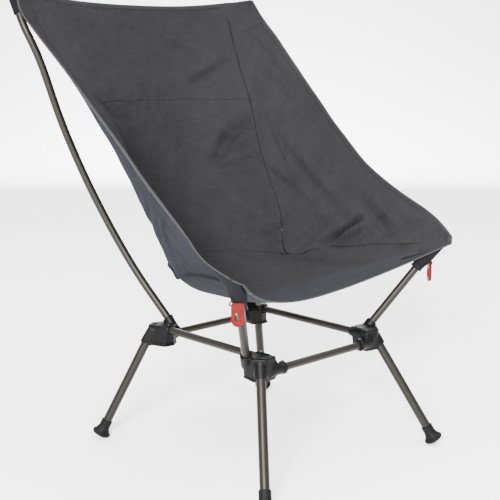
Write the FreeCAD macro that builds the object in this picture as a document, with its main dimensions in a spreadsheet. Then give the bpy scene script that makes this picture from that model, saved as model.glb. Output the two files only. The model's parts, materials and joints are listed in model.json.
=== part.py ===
"""Ultralight backpacking chair: a four-hub tube frame with a slung fabric bucket seat.

Millimetres. Z is up, the sitter faces -Y and the sitter's left is +X. The feet stand on Z = 0.
Every sided piece is made for the left side and mirrored in the plane X = 0.
"""
import FreeCAD, Part
import math
import os

import Sketcher

os.makedirs("parts", exist_ok=True)
doc = FreeCAD.newDocument("chair")
V = FreeCAD.Vector

# ---------------------------------------------------------------- driving dimensions
DIMENSIONS = {
    # tubes
    "leg_dia": 16.0,
    "bar_dia": 13.0,
    "pole_dia": 14.0,
    "tube_wall": 1.1,
    "ferrule_dia": 11.6,
    "cord_dia": 3.0,
    "knot_radius": 3.0,
    # lengths along each tube
    "front_leg_length": 221.3,
    "rear_leg_length": 209.8,
    "side_bar_length": 266.0,
    "front_bar_length": 240.0,
    "rear_bar_length": 214.0,
    "seat_pole_length": 170.0,
    "leg_insertion": 28.0,
    "pole_insertion": 26.0,
    "ferrule_length": 70.0,
    # hub moulding
    "socket_wall": 3.0,
    "socket_floor": 4.0,
    "hub_foot_z": 173.0,
    "hub_height": 38.0,
    "flange_thick": 4.0,
    "flange_lip": 3.0,
    "collar_length": 7.0,
    "collar_lip": 1.6,
    "slide_gap": 0.06,
    "pole_gap": 0.2,
    # rubber feet
    "foot_radius": 16.5,
    "foot_rim": 3.0,
    "foot_neck_radius": 10.0,
    "foot_height": 30.0,
    "foot_sole": 7.0,
    # fixing pins
    "pin_head_radius": 3.0,
    "pin_head_height": 1.6,
    "pin_shank_radius": 1.4,
    "pin_length": 6.0,
    # sling
    "cloth_thick": 2.0,
    "seam_gap": 1.0,
    "binding_radius": 2.4,
    "pocket_wall": 1.0,
    "pocket_gap": 0.7,
    "front_pocket_depth": 22.0,
    "top_pocket_depth": 42.0,
    # pull tabs
    "tab_width": 20.0,
    "tab_length": 36.0,
    "tab_thick": 5.0,
    "tab_eye_radius": 1.5,
    "tab_hole_length": 13.0,
    "tab_hole_width": 8.0,
    "loop_radius": 1.1,
}

sheet = doc.addObject("Spreadsheet::Sheet", "Dimensions")
for row, (alias, number) in enumerate(DIMENSIONS.items(), start=1):
    sheet.set(f"A{row}", alias)
    sheet.set(f"B{row}", str(number))
    sheet.setAlias(f"B{row}", alias)
doc.recompute()


def dim(alias):
    """A driving dimension as a plain number."""
    return float(getattr(sheet, alias))


# Tube centrelines on the left side: a point on each and the direction it runs.
FRONT_LEG_MOUTH = V(146.7, -217.9, 179.5)
FRONT_LEG_DOWN = V(0.325, -0.388, -0.862).normalize()
REAR_LEG_MOUTH = V(140.9, 89.1, 174.6)
REAR_LEG_DOWN = V(0.350, 0.281, -0.894).normalize()
SEAT_POLE_FOOT = V(144.0, -182.6, 197.0)
SEAT_POLE_UP = V(0.471, -0.402, 0.786).normalize()
SIDE_BAR_X = 117.0
SIDE_BAR_Z = 203.0
SIDE_BAR_FRONT_Y = -199.0
SIDE_MOUTH_FRONT_Y = -177.0
SIDE_MOUTH_REAR_Y = 43.0
FRONT_BAR_Y = -215.0
FRONT_BAR_Z = 188.0
FRONT_BAR_MOUTH_X = 92.0
REAR_BAR_Y = 70.0
REAR_BAR_Z = 189.0
REAR_BAR_MOUTH_X = 84.0
# Bowed back pole, socket to tip.
BACK_POLE = [
    V(96.5, 57.5, 200.0),
    V(100.0, 65.1, 210.8),
    V(103.5, 72.7, 221.6),
    V(126.0, 118.0, 287.0),
    V(149.0, 156.0, 357.0),
    V(173.0, 184.0, 428.0),
    V(196.0, 204.0, 497.0),
    V(228.0, 221.0, 595.0),
    V(260.0, 236.5, 702.0),
    V(273.0, 248.5, 742.0),
    V(275.8, 255.8, 760.7),
    V(278.7, 263.2, 779.3),
    V(281.5, 270.5, 798.0),
]
BACK_JOINT_SHARE = 0.5

# Sling outline from the front hem to the top hem: side edge (x, y, z), seam (x, y, z), centreline (y, z).
SLING = [
    (V(266, -280, 369), V(250, -290, 360), V(0, -180, 281)),
    (V(281, -238, 393), V(236, -244, 357), V(0, -128, 271)),
    (V(276, -201, 416), V(218, -205, 352), V(0, -75, 265)),
    (V(267, -155, 441), V(200, -155, 347), V(0, -20, 263)),
    (V(261, -105, 472), V(180, -97, 338), V(0, 35, 267)),
    (V(260, -69, 498), V(160, -45, 326), V(0, 85, 285)),
    (V(261, -33, 530), V(136, 4, 315), V(0, 120, 318)),
    (V(263, 5, 563), V(142, 25, 367), V(0, 155, 375)),
    (V(267, 36, 592), V(150, 48, 418), V(0, 180, 430)),
    (V(272, 80, 632), V(155, 85, 478), V(0, 200, 487)),
    (V(278, 124, 672), V(162, 118, 548), V(0, 220, 550)),
    (V(284, 163, 707), V(181, 154, 602), V(0, 238, 604)),
    (V(289, 200, 740), V(199, 198, 655), V(0, 260, 660)),
    (V(289, 231, 769), V(220, 243, 710), V(0, 284, 718)),
    (V(278, 252, 806), V(241, 296, 800), V(0, 307.4, 786)),
]
FRONT = 0
SEAT_END = 6
BACK_SEAM = 11
TOP = len(SLING) - 1
# Outward belly of a wing, as a share of its width.
WING_BULGE = V(0.021, 0.017, -0.014)
TAB_TOP = V(233, -258, 325)
TAB_OUTWARD = V(0.727, -0.686, 0)


# ---------------------------------------------------------------- modelling helpers
def bind(obj, **expressions):
    """Drive an object's properties from the dimension sheet."""
    for prop, expression in expressions.items():
        obj.setExpression(prop, expression)


def frame_at(base, direction):
    """Placement whose local Z runs along direction from base."""
    return FreeCAD.Placement(base, FreeCAD.Rotation(V(0, 0, 1), direction))


def origin_plane(body, role):
    return next(f for f in body.Origin.OriginFeatures if f.Role == role)


def add_circle(sketch, radius_expression, centre=V(0, 0, 0)):
    """Circle about a fixed centre with its radius driven by the sheet."""
    index = sketch.addGeometry(Part.Circle(centre, V(0, 0, 1), 1.0))
    sketch.addConstraint(Sketcher.Constraint("Coincident", index, 3, -1, 1))
    constraint = sketch.addConstraint(Sketcher.Constraint("Radius", index, 1.0))
    sketch.setExpression(f"Constraints[{constraint}]", radius_expression)


def new_sketch(body, name, role="XY_Plane"):
    sketch = body.newObject("Sketcher::SketchObject", name)
    sketch.AttachmentSupport = (origin_plane(body, role), [""])
    sketch.MapMode = "FlatFace"
    return sketch


def tube(label, base, direction, length, diameter):
    """Drawn alloy tube from base along direction."""
    body = doc.addObject("PartDesign::Body", label)
    body.Label = label
    section = new_sketch(body, label + "_section")
    add_circle(section, f"Dimensions.{diameter} / 2")
    add_circle(section, f"Dimensions.{diameter} / 2 - Dimensions.tube_wall")
    pad = body.newObject("PartDesign::Pad", label + "_draw")
    pad.Profile = section
    bind(pad, Length=f"Dimensions.{length}")
    body.Placement = frame_at(base, direction)
    return body


def rod(label, base, direction, radius, length):
    """Plain cylinder; radius and length are sheet expressions."""
    cylinder = doc.addObject("Part::Cylinder", label)
    cylinder.Label = label
    bind(cylinder, Radius=radius, Height=length)
    cylinder.Placement = frame_at(base, direction)
    return cylinder


def chain(kind, label, first, others):
    """Boolean operations applied one after another; the last result carries the label."""
    result = first
    for number, other in enumerate(others, start=1):
        name = label if number == len(others) else f"{label}_{number}"
        step = doc.addObject(kind, name)
        step.Base = result
        step.Tool = other
        result = step
    result.Label = label
    return result


def fuse(label, pieces):
    return chain("Part::Fuse", label, pieces[0], pieces[1:])


def cut(label, base, tools):
    return chain("Part::Cut", label, base, tools)


def mirrored(source, label):
    """Right-hand twin of a left-hand piece."""
    twin = doc.addObject("Part::Mirroring", label)
    twin.Label = label
    twin.Source = source
    twin.Normal = V(1, 0, 0)
    twin.Base = V(0, 0, 0)
    return twin


nodes = []


def keep(*pieces):
    nodes.extend(pieces)


def keep_pair(piece, stem):
    keep(piece, mirrored(piece, stem + "_right"))


def feature(label, shape):
    """A piece whose free-form shape no primitive or sketch feature describes."""
    obj = doc.addObject("Part::Feature", label)
    obj.Label = label
    obj.Shape = shape
    obj.Placement = FreeCAD.Placement()
    return obj


# ---------------------------------------------------------------- hubs
LEG_BORE = "Dimensions.leg_dia / 2 + Dimensions.slide_gap"
BAR_BORE = "Dimensions.bar_dia / 2 + Dimensions.slide_gap"
POLE_BORE = "Dimensions.pole_dia / 2 + Dimensions.pole_gap"
CORD_BORE = "Dimensions.cord_dia / 2 + 0.4"
OUT_X = V(1, 0, 0)
BACK_Y = V(0, 1, 0)
UP = V(0, 0, 1)


def hub_core(label, corners):
    """Upright web of the hub with a wider flange at its foot and at its head."""
    body = doc.addObject("PartDesign::Body", label)
    body.Label = label
    head = dim("hub_height") - dim("flange_thick")
    levels = [
        ("web", 0.0, 0.0, "Dimensions.hub_height"),
        ("foot", dim("flange_lip"), 0.0, "Dimensions.flange_thick"),
        ("head", dim("flange_lip"), head, "Dimensions.flange_thick"),
    ]
    wire = Part.makePolygon(corners + corners[:1])
    for name, spread, start, length in levels:
        grown = wire.makeOffset2D(spread, 2) if spread else wire
        points = [vertex.Point for vertex in grown.OrderedVertexes]
        sketch = new_sketch(body, f"{label}_{name}")
        sketch.AttachmentOffset = FreeCAD.Placement(V(0, 0, start), FreeCAD.Rotation())
        for first, second in zip(points, points[1:] + points[:1]):
            sketch.addGeometry(Part.LineSegment(first, second))
        pad = body.newObject("PartDesign::Pad", f"{label}_{name}_pad")
        pad.Profile = sketch
        bind(pad, Length=length)
        doc.recompute()
    body.Placement.Base = V(0, 0, dim("hub_foot_z"))
    return body


def socket(label, mouth, inward, bore, depth):
    """Outer sleeve and bore of one tube socket, both running inward from the mouth."""
    sleeve = rod(
        label + "_sleeve",
        mouth,
        inward,
        f"{bore} + Dimensions.socket_wall",
        f"{depth} + Dimensions.socket_floor",
    )
    hollow = rod(label + "_bore", mouth - inward * 30, inward, bore, f"{depth} + 30")
    return sleeve, hollow


def pin_tools(label, seat):
    """Shank hole and head seat for a fixing pin whose head rests at seat."""
    shank = rod(
        label + "_hole",
        seat - UP * dim("pin_length"),
        UP,
        "Dimensions.pin_shank_radius + Dimensions.slide_gap",
        "Dimensions.pin_length + 1",
    )
    head = rod(label + "_seat", seat, UP, "Dimensions.pin_head_radius + 0.3", "12")
    return [shank, head]


def hub(label, corners, leg, side, bar, pole, pins):
    """One moulded hub. leg, side, bar and pole are each (mouth, inward direction, depth)."""
    core = hub_core(label + "_core", corners)
    sleeves = [core]
    hollows = []
    for name, (mouth, inward, depth), bore in (
        ("leg", leg, LEG_BORE),
        ("side", side, BAR_BORE),
        ("bar", bar, BAR_BORE),
        ("pole", pole, POLE_BORE),
    ):
        sleeve, hollow = socket(f"{label}_{name}", mouth, inward, bore, depth)
        sleeves.append(sleeve)
        hollows.append(hollow)
    collar = rod(
        label + "_collar",
        bar[0],
        bar[1],
        BAR_BORE + " + Dimensions.socket_wall + Dimensions.collar_lip",
        "Dimensions.collar_length",
    )
    mouth, upward, _ = leg
    leg_top = mouth + upward * (dim("leg_insertion") + dim("slide_gap"))
    knot_seat = leg_top + upward * dim("socket_floor")
    hollows.append(rod(label + "_cord_hole", leg_top - upward, upward, CORD_BORE, "12"))
    hollows.append(rod(label + "_knot_seat", knot_seat, upward, "Dimensions.knot_radius + 0.4", "30"))
    for number, seat in enumerate(pins):
        hollows.extend(pin_tools(f"{label}_pin{number}", seat))
    return cut(label, fuse(label + "_solid", sleeves + [collar]), hollows)


def on_ring(x, y, bar_z, lip=0.0):
    """Seat of a pin on top of the socket sleeve of a ring bar."""
    top = dim("bar_dia") / 2 + dim("slide_gap") + dim("socket_wall") + lip
    return V(x, y, bar_z + top - 0.6)


FRONT_PINS = [
    on_ring(SIDE_BAR_X, SIDE_MOUTH_FRONT_Y - 9, SIDE_BAR_Z),
    on_ring(FRONT_BAR_MOUTH_X + 4, FRONT_BAR_Y, FRONT_BAR_Z, dim("collar_lip")),
]
REAR_PINS = [
    on_ring(SIDE_BAR_X, SIDE_MOUTH_REAR_Y + 9, SIDE_BAR_Z),
    on_ring(REAR_BAR_MOUTH_X + 4, REAR_BAR_Y, REAR_BAR_Z, dim("collar_lip")),
]
LEG_DEPTH = "Dimensions.leg_insertion + Dimensions.slide_gap"
POLE_DEPTH = "Dimensions.pole_insertion + Dimensions.pole_gap"
FRONT_BAR_DEPTH = f"Dimensions.front_bar_length / 2 - {FRONT_BAR_MOUTH_X}"
REAR_BAR_DEPTH = f"Dimensions.rear_bar_length / 2 - {REAR_BAR_MOUTH_X}"
SIDE_FRONT_DEPTH = f"{SIDE_MOUTH_FRONT_Y - SIDE_BAR_FRONT_Y}"
SIDE_REAR_DEPTH = f"Dimensions.side_bar_length - {SIDE_MOUTH_REAR_Y - SIDE_BAR_FRONT_Y}"

seat_pole_mouth = SEAT_POLE_FOOT + SEAT_POLE_UP * dim("pole_insertion")
back_pole_up = (BACK_POLE[1] - BACK_POLE[0]).normalize()
back_pole_mouth = BACK_POLE[0] + back_pole_up * dim("pole_insertion")

hub_front = hub(
    "hub_front_left",
    [V(108, -222, 0), V(138, -222, 0), V(151, -205, 0), V(149, -177, 0), V(132, -172, 0), V(108, -186, 0)],
    (FRONT_LEG_MOUTH, FRONT_LEG_DOWN * -1, LEG_DEPTH),
    (V(SIDE_BAR_X, SIDE_MOUTH_FRONT_Y, SIDE_BAR_Z), BACK_Y * -1, SIDE_FRONT_DEPTH),
    (V(FRONT_BAR_MOUTH_X, FRONT_BAR_Y, FRONT_BAR_Z), OUT_X, FRONT_BAR_DEPTH),
    (seat_pole_mouth, SEAT_POLE_UP * -1, POLE_DEPTH),
    FRONT_PINS,
)
hub_rear = hub(
    "hub_rear_left",
    [V(95, 84, 0), V(124, 92, 0), V(139, 84, 0), V(127, 50, 0), V(110, 47, 0), V(92, 56, 0)],
    (REAR_LEG_MOUTH, REAR_LEG_DOWN * -1, LEG_DEPTH),
    (V(SIDE_BAR_X, SIDE_MOUTH_REAR_Y, SIDE_BAR_Z), BACK_Y, SIDE_REAR_DEPTH),
    (V(REAR_BAR_MOUTH_X, REAR_BAR_Y, REAR_BAR_Z), OUT_X, REAR_BAR_DEPTH),
    (back_pole_mouth, back_pole_up * -1, POLE_DEPTH),
    REAR_PINS,
)
keep_pair(hub_front, "hub_front")
keep_pair(hub_rear, "hub_rear")


# ---------------------------------------------------------------- fixing pins
def pin(label, seat):
    """Domed pin: shank down through the sleeve and the bar's upper wall."""
    shank = rod(
        label + "_shank",
        seat - UP * dim("pin_length"),
        UP,
        "Dimensions.pin_shank_radius",
        "Dimensions.pin_length",
    )
    head = rod(label + "_head", seat, UP, "Dimensions.pin_head_radius", "Dimensions.pin_head_height")
    return fuse(label, [shank, head])


pins = [pin(f"pin{number}", seat) for number, seat in enumerate(FRONT_PINS + REAR_PINS)]
pins += [mirrored(piece, piece.Label + "_right") for piece in pins]
hub_pins = doc.addObject("Part::Compound", "hub_pins")
hub_pins.Label = "hub_pins"
hub_pins.Links = pins
keep(hub_pins)


# ---------------------------------------------------------------- ring bars
def drilled(label, blank, seats):
    """Ring bar with the holes its fixing pins drop into."""
    holes = [
        rod(
            f"{label}_hole{number}",
            seat - UP * dim("pin_length"),
            UP,
            "Dimensions.pin_shank_radius + Dimensions.slide_gap",
            "Dimensions.pin_length",
        )
        for number, seat in enumerate(seats)
    ]
    return cut(label, blank, holes)


def across(seat):
    return V(-seat.x, seat.y, seat.z)


side_blank = tube(
    "side_bar_blank", V(SIDE_BAR_X, SIDE_BAR_FRONT_Y, SIDE_BAR_Z), BACK_Y, "side_bar_length", "bar_dia"
)
keep_pair(drilled("side_bar_left", side_blank, [FRONT_PINS[0], REAR_PINS[0]]), "side_bar")
for name, y, z, seat in (
    ("front", FRONT_BAR_Y, FRONT_BAR_Z, FRONT_PINS[1]),
    ("rear", REAR_BAR_Y, REAR_BAR_Z, REAR_PINS[1]),
):
    length = f"{name}_bar_length"
    blank = tube(f"cross_bar_{name}_blank", V(-dim(length) / 2, y, z), OUT_X, length, "bar_dia")
    keep(drilled(f"cross_bar_{name}", blank, [seat, across(seat)]))


# ---------------------------------------------------------------- legs, feet and leg cords
def revolved(label, outline, base, direction):
    """Body of revolution about its local Z; outline holds sketch curves in (radius, height)."""
    body = doc.addObject("PartDesign::Body", label)
    body.Label = label
    sketch = new_sketch(body, label + "_profile", "XZ_Plane")
    for curve in outline:
        sketch.addGeometry(curve)
    turn = body.newObject("PartDesign::Revolution", label + "_turn")
    turn.Profile = sketch
    turn.ReferenceAxis = (sketch, ["V_Axis"])
    turn.Angle = 360
    body.Placement = frame_at(base, direction)
    return body


def lines(*points):
    """Straight sketch segments through (radius, height) points."""
    return [Part.LineSegment(V(*first, 0), V(*second, 0)) for first, second in zip(points, points[1:])]


def arc(start, middle, end):
    return Part.Arc(V(*start, 0), V(*middle, 0), V(*end, 0))


def foot_outline():
    """Flared rubber foot: rounded sole, hollow flare and a plain neck around the leg."""
    radius, rim, neck = dim("foot_radius"), dim("foot_rim"), dim("foot_neck_radius")
    height, sole = dim("foot_height"), dim("foot_sole")
    bore = dim("leg_dia") / 2 + dim("slide_gap")
    diagonal = rim * math.sqrt(0.5)
    flare_foot = rim + 2.0
    flare_head = height * 0.62
    lip = 1.0
    return (
        lines((0, 0), (radius - rim, 0))
        + [arc((radius - rim, 0), (radius - rim + diagonal, rim - diagonal), (radius, rim))]
        + lines((radius, rim), (radius, flare_foot))
        + [arc((radius, flare_foot), (neck + 2.2, flare_foot + 5.5), (neck, flare_head))]
        + lines((neck, flare_head), (neck, height - lip), (neck - lip, height), (bore, height))
        + lines((bore, height), (bore, sole), (0, sole), (0, 0))
    )


def leg_set(name, mouth, down):
    """Leg tube, its rubber foot, the plug in its lower end and the cord that holds it to the hub."""
    top = mouth - down * dim("leg_insertion")
    length = f"{name}_leg_length"
    keep_pair(tube(f"leg_{name}_left", top, down, length, "leg_dia"), f"leg_{name}")

    sole = top + down * (dim(length) + dim("foot_sole") + dim("slide_gap"))
    moulding = revolved(f"foot_{name}_moulding", foot_outline(), sole, down * -1)
    ground = doc.addObject("Part::Box", f"foot_{name}_ground")
    bind(ground, Length="60", Width="60", Height="20")
    ground.Placement.Base = V(sole.x - 30, sole.y - 30, -20)
    keep_pair(cut(f"foot_{name}_left", moulding, [ground]), f"foot_{name}")

    plug_length = 8.0
    plug_base = top + down * (dim(length) - plug_length)
    plug = rod(
        f"leg_plug_{name}_blank",
        plug_base,
        down,
        "Dimensions.leg_dia / 2 - Dimensions.tube_wall - Dimensions.slide_gap",
        f"{plug_length}",
    )
    passage = rod(f"leg_plug_{name}_passage", plug_base - down, down, CORD_BORE, f"{plug_length + 2}")
    keep_pair(cut(f"leg_plug_{name}_left", plug, [passage]), f"leg_plug_{name}")

    knot_centre = top - down * (dim("slide_gap") + dim("socket_floor") + dim("knot_radius") + 0.2)
    knot = doc.addObject("Part::Sphere", f"leg_cord_{name}_knot")
    bind(knot, Radius="Dimensions.knot_radius")
    knot.Placement = frame_at(knot_centre, down)
    run = dim(length) + (top - knot_centre).Length - 1.0
    strand = rod(f"leg_cord_{name}_strand", knot_centre, down, "Dimensions.cord_dia / 2", f"{run}")
    keep_pair(fuse(f"leg_cord_{name}_left", [knot, strand]), f"leg_cord_{name}")


leg_set("front", FRONT_LEG_MOUTH, FRONT_LEG_DOWN)
leg_set("rear", REAR_LEG_MOUTH, REAR_LEG_DOWN)


# ---------------------------------------------------------------- poles
def tip_outline():
    """Rounded pole tip with a stub that plugs the tube."""
    outer = dim("pole_dia") / 2
    stub = outer - dim("tube_wall") - 2 * dim("slide_gap")
    shoulder = 2.0
    flat = 1.5
    dome = outer - flat
    bend = dome * math.sqrt(0.5)
    return (
        lines((0, -12), (stub, -12), (stub, dim("slide_gap")), (outer, dim("slide_gap")), (outer, shoulder))
        + [arc((outer, shoulder), (flat + bend, shoulder + bend), (flat, shoulder + dome))]
        + lines((flat, shoulder + dome), (0, shoulder + dome), (0, -12))
    )


def pocket_outline(depth):
    """Closed sleeve over a pole tip, open at the mouth; height 0 is the tube's end."""
    inner = dim("pole_dia") / 2 + dim("pocket_gap")
    outer = inner + dim("pocket_wall")
    roof = 9.0
    top = roof + dim("pocket_wall")
    return (
        lines((inner, -depth), (outer, -depth), (outer, 3))
        + [arc((outer, 3), (outer * 0.78, top - 2.4), (outer * 0.35, top))]
        + lines((outer * 0.35, top), (0, top), (0, roof), (inner * 0.35, roof))
        + [arc((inner * 0.35, roof), (inner * 0.78, roof - 2.2), (inner, 3))]
        + lines((inner, 3), (inner, -depth))
    )


def pole_end(name, end, direction, pocket_depth):
    """Moulded tip and sewn sleeve at the end of a pole."""
    keep_pair(revolved(f"{name}_tip_left", tip_outline(), end, direction), f"{name}_tip")
    sleeve = revolved(f"{name}_pocket_left", pocket_outline(dim(pocket_depth)), end, direction)
    keep_pair(sleeve, f"{name}_pocket")


keep_pair(tube("seat_pole_left", SEAT_POLE_FOOT, SEAT_POLE_UP, "seat_pole_length", "pole_dia"), "seat_pole")
seat_pole_end = SEAT_POLE_FOOT + SEAT_POLE_UP * dim("seat_pole_length")
pole_end("seat_pole", seat_pole_end, SEAT_POLE_UP, "front_pocket_depth")
keep_pair(
    rod(
        "seat_pole_cord_left",
        SEAT_POLE_FOOT + SEAT_POLE_UP,
        SEAT_POLE_UP,
        "Dimensions.cord_dia / 2",
        "Dimensions.seat_pole_length - 15",
    ),
    "seat_pole_cord",
)


def spline(points):
    """Smooth curve that passes each point at its own whole-number parameter."""
    curve = Part.BSplineCurve()
    curve.interpolate(Points=points, Parameters=[float(n) for n in range(len(points))])
    return curve


def pipe(path, radius, bore=0.0, frenet=True):
    """Round rod or tube swept along an edge; frenet False suits a path whose bend changes sides."""
    start = path.valueAt(path.FirstParameter)
    tangent = path.tangentAt(path.FirstParameter)
    spine = Part.Wire([path])

    def sweep(size):
        ring = Part.Wire([Part.makeCircle(size, start, tangent)])
        return spine.makePipeShell([ring], True, frenet)

    solid = sweep(radius)
    return solid.cut(sweep(bore)) if bore else solid


back_curve = Part.BSplineCurve()
back_curve.interpolate(BACK_POLE)
back_edge = back_curve.toShape()
back_length = back_edge.Length


def back_stretch(start, end):
    """Piece of the back pole's centreline between two distances from its foot."""
    first = back_edge.getParameterByLength(start)
    last = back_edge.getParameterByLength(end)
    return back_curve.toShape(first, last)


pole_radius = dim("pole_dia") / 2
pole_bore = pole_radius - dim("tube_wall")
joint_at = back_length * BACK_JOINT_SHARE
half_ferrule = dim("ferrule_length") / 2
ferrule_radius = dim("ferrule_dia") / 2
keep_pair(
    feature("back_pole_lower_left", pipe(back_stretch(0, joint_at - 0.2), pole_radius, pole_bore)),
    "back_pole_lower",
)
keep_pair(
    feature("back_pole_upper_left", pipe(back_stretch(joint_at + 0.2, back_length), pole_radius, pole_bore)),
    "back_pole_upper",
)
ferrule_path = back_stretch(joint_at - half_ferrule, joint_at + half_ferrule)
keep_pair(
    feature("back_pole_ferrule_left", pipe(ferrule_path, ferrule_radius, ferrule_radius - 1)),
    "back_pole_ferrule",
)
keep_pair(
    feature("back_pole_cord_left", pipe(back_stretch(1, back_length - 14), dim("cord_dia") / 2)),
    "back_pole_cord",
)
back_pole_end = BACK_POLE[-1]
back_end_direction = back_edge.tangentAt(back_edge.LastParameter)
pole_end("back_pole", back_pole_end, back_end_direction, "top_pocket_depth")


# ---------------------------------------------------------------- sling
edge_line, seam_line, centre_line = (spline(list(points)) for points in zip(*SLING))
# How boxy the section between the seams is: 2 is a parabola, larger is flatter in the middle.
FULLNESS = [(0, 1.8), (3, 1.9), (6, 2.6), (9, 3.0), (14, 2.4)]


def fullness(station):
    """Straight-line interpolation in FULLNESS."""
    for (low, first), (high, last) in zip(FULLNESS, FULLNESS[1:]):
        if station <= high:
            return first + (last - first) * (station - low) / (high - low)
    return FULLNESS[-1][1]


def middle_point(station, across_share):
    """Point of the seat or back between its seams; across_share runs -1 to 1."""
    centre = centre_line.value(station)
    seam = seam_line.value(station)
    rise = abs(across_share) ** fullness(station)
    point = centre + (seam - centre) * rise
    point.x = seam.x * across_share
    return point


def wing_point(station, share):
    """Point of the left wing; share runs from 0 at the seam to 1 at the side edge."""
    seam = seam_line.value(station)
    width = edge_line.value(station) - seam
    return seam + width * share + WING_BULGE * (4 * share * (1 - share) * width.Length)


def steps(first, last, count):
    return [first + (last - first) * n / (count - 1) for n in range(count)]


def cloth(label, rows, away_from):
    """Thin closed solid grown from a smooth surface through rows of points."""
    surface = Part.BSplineSurface()
    surface.interpolate(rows)
    face = surface.toShape()
    middle_u, middle_v = (sum(face.ParameterRange[:2]) / 2, sum(face.ParameterRange[2:]) / 2)
    outward = face.valueAt(middle_u, middle_v) - away_from
    side = 1 if face.normalAt(middle_u, middle_v).dot(outward) > 0 else -1
    return feature(label, face.makeOffsetShape(side * dim("cloth_thick"), 0.01, fill=True))


SITTER = V(0, -60, 480)
HEM_INSET = 0.14
SEAM_INSET = 0.006
# Share of the half width at which a hem starts its rounded turn from the middle panel into the wing.
CORNER_START = 0.93


def middle_panel(label, first, last):
    rows = []
    for station in steps(first, last, 2 * round(last - first) + 1):
        half = seam_line.value(station).x
        reach = 1 - dim("seam_gap") / half
        rows.append([middle_point(station, share) for share in steps(-reach, reach, 17)])
    return cloth(label, rows, SITTER)


def wing_panel(label):
    rows = []
    for station in steps(FRONT + HEM_INSET, TOP - HEM_INSET, 2 * TOP + 1):
        width = (edge_line.value(station) - seam_line.value(station)).Length
        inner = dim("seam_gap") / width
        outer = 1 - (dim("binding_radius") + 2 * dim("seam_gap")) / width
        rows.append([wing_point(station, share) for share in steps(inner, outer, 7)])
    return cloth(label, rows, SITTER)


keep(middle_panel("seat_panel", FRONT + HEM_INSET, SEAT_END - SEAM_INSET))
keep(middle_panel("back_lower_panel", SEAT_END + SEAM_INSET, BACK_SEAM - SEAM_INSET))
keep(middle_panel("back_upper_panel", BACK_SEAM + SEAM_INSET, TOP - HEM_INSET))
keep_pair(wing_panel("wing_left"), "wing")


def across_x(points):
    return [V(-point.x, point.y, point.z) for point in reversed(points)]


def hem_path(station):
    """Hem from the right side edge to the left one, ends held clear of the side bindings."""
    width = (edge_line.value(station) - seam_line.value(station)).Length
    reach = 1 - (2 * dim("binding_radius") + 0.8) / width
    wing = [wing_point(station, reach * share) for share in (0.4, 1.0)]
    middle = [middle_point(station, share) for share in steps(-CORNER_START, CORNER_START, 13)]
    return across_x(wing) + middle + wing


binding_radius = dim("binding_radius")
keep_pair(feature("side_binding_left", pipe(edge_line.toShape(), binding_radius)), "side_binding")
for name, station in (("front", FRONT), ("top", TOP)):
    keep(feature(f"hem_{name}", pipe(spline(hem_path(station)).toShape(), binding_radius, frenet=False)))


# ---------------------------------------------------------------- pull tabs
tab_along = UP.cross(TAB_OUTWARD).normalize()
tab_turn = FreeCAD.Rotation(tab_along, UP, TAB_OUTWARD, "XYZ")
tab_head = 4.4
tab_eye = TAB_TOP - UP * tab_head


def tab_outline():
    """Plate outline about the eye: square shoulders with rounded corners and a round lower end."""
    half, drop, corner = dim("tab_width") / 2, dim("tab_length") - tab_head, 4.0
    bend = corner * (1 - math.sqrt(0.5))
    shoulder = tab_head - corner
    crook = half - drop
    return (
        lines((corner - half, tab_head), (half - corner, tab_head))
        + [arc((half - corner, tab_head), (half - bend, tab_head - bend), (half, shoulder))]
        + lines((half, shoulder), (half, crook))
        + [arc((half, crook), (0, -drop), (-half, crook))]
        + lines((-half, crook), (-half, shoulder))
        + [arc((-half, shoulder), (bend - half, tab_head - bend), (corner - half, tab_head))]
    )


def pull_tab():
    """Moulded pull tab with an eye bored across its head and an oval finger hole."""
    plate = doc.addObject("PartDesign::Body", "tab_plate")
    sketch = new_sketch(plate, "tab_outline")
    for curve in tab_outline():
        sketch.addGeometry(curve)
    pad = plate.newObject("PartDesign::Pad", "tab_pad")
    pad.Profile = sketch
    pad.SideType = "Symmetric"
    bind(pad, Length="Dimensions.tab_thick")
    plate.Placement = FreeCAD.Placement(tab_eye, tab_turn)
    reach = dim("tab_width") / 2 + 1
    bore = rod(
        "tab_bore", tab_eye - tab_along * reach, tab_along, "Dimensions.tab_eye_radius", "Dimensions.tab_width + 2"
    )
    oval = doc.addObject("Part::Ellipse", "tab_oval")
    bind(oval, MajorRadius="Dimensions.tab_hole_length / 2", MinorRadius="Dimensions.tab_hole_width / 2")
    middle = tab_eye - UP * (dim("tab_length") * 0.46) - TAB_OUTWARD * dim("tab_thick")
    oval.Placement = FreeCAD.Placement(middle, FreeCAD.Rotation(UP, tab_along * -1, TAB_OUTWARD, "XYZ"))
    hole = doc.addObject("Part::Extrusion", "tab_hole")
    hole.Base = oval
    hole.Dir = TAB_OUTWARD
    hole.LengthFwd = 2 * dim("tab_thick")
    hole.Solid = True
    return cut("pull_tab_left", plate, [bore, hole])


def tab_loop():
    """Cord loop through the tab's eye, its two arms running up beside the sleeve mouth."""
    half = dim("tab_width") / 2 + 2.2
    rise = 13.0
    corners = [tab_eye + tab_along * side * half for side in (-1, 1)]
    crossing = rod("loop_crossing", corners[0], tab_along, "Dimensions.loop_radius", f"{2 * half}")
    strands = [crossing]
    for number, corner in enumerate(corners):
        strands.append(rod(f"loop_arm{number}", corner, SEAT_POLE_UP, "Dimensions.loop_radius", f"{rise}"))
        bend = doc.addObject("Part::Sphere", f"loop_bend{number}")
        bind(bend, Radius="Dimensions.loop_radius")
        bend.Placement.Base = corner
        strands.append(bend)
    return fuse("tab_loop_left", strands)


keep_pair(pull_tab(), "pull_tab")
keep_pair(tab_loop(), "tab_loop")


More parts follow.
